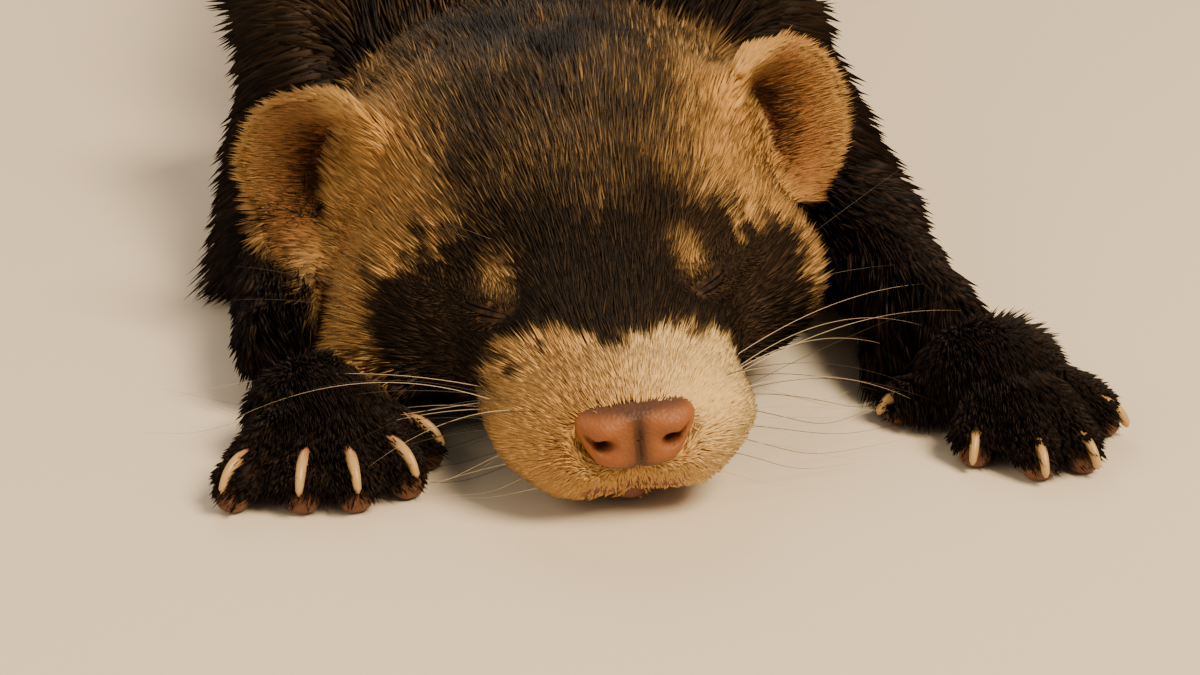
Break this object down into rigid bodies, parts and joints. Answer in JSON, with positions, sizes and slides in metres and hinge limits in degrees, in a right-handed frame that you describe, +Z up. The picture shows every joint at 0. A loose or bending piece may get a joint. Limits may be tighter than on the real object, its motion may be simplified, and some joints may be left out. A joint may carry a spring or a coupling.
{
  "type": "sleeping ferret",
  "caption": "Life-size sable ferret asleep on its belly, chin on the floor and eyes shut, with one forepaw beside the muzzle and the other stretched to the side.",
  "frame": {"origin": "on the floor under the chest, between the forelegs and the ribs", "axes": "-Y towards the nose, +X to the animal's own left, +Z up"},
  "size_m": [0.1304, 0.4501, 0.0542],
  "materials": {
    "coat_cream": "soft cream fur",
    "coat_grizzled": "cream underfur with long dark guard hairs",
    "coat_sable": "short near-black brown fur",
    "bare_leather": "bare, slightly moist skin of the nose and toe pads",
    "claw_horn": "pale horn, satin"
  },
  "bodies": {
    "root": {"head": "coat_cream", "jaw": "coat_cream", "nose": "bare_leather", "ear_left": "coat_cream", "eyelid_upper_left": "coat_sable", "eyelid_lower_left": "coat_sable", "ear_right": "coat_cream", "eyelid_upper_right": "coat_sable", "eyelid_lower_right": "coat_sable", "neck": "coat_grizzled", "chest": "coat_grizzled", "belly": "coat_grizzled", "rump": "coat_grizzled", "tail": "coat_sable", "upper_arm_left": "coat_sable", "forearm_left": "coat_sable", "forepaw_left": "coat_sable", "thigh_left": "coat_sable", "hindpaw_left": "coat_sable", "upper_arm_right": "coat_sable", "forearm_right": "coat_sable", "forepaw_right": "coat_sable", "thigh_right": "coat_sable", "hindpaw_right": "coat_sable", "claw_fore_left_1": "claw_horn", "claw_fore_left_2": "claw_horn", "claw_fore_left_3": "claw_horn", "claw_fore_left_4": "claw_horn", "claw_fore_left_5": "claw_horn", "claw_hind_left_1": "claw_horn", "claw_hind_left_2": "claw_horn", "claw_hind_left_3": "claw_horn", "claw_hind_left_4": "claw_horn", "claw_hind_left_5": "claw_horn", "claw_fore_right_1": "claw_horn", "claw_fore_right_2": "claw_horn", "claw_fore_right_3": "claw_horn", "claw_fore_right_4": "claw_horn", "claw_fore_right_5": "claw_horn", "claw_hind_right_1": "claw_horn", "claw_hind_right_2": "claw_horn", "claw_hind_right_3": "claw_horn", "claw_hind_right_4": "claw_horn", "claw_hind_right_5": "claw_horn"}
  },
  "joints": []
}
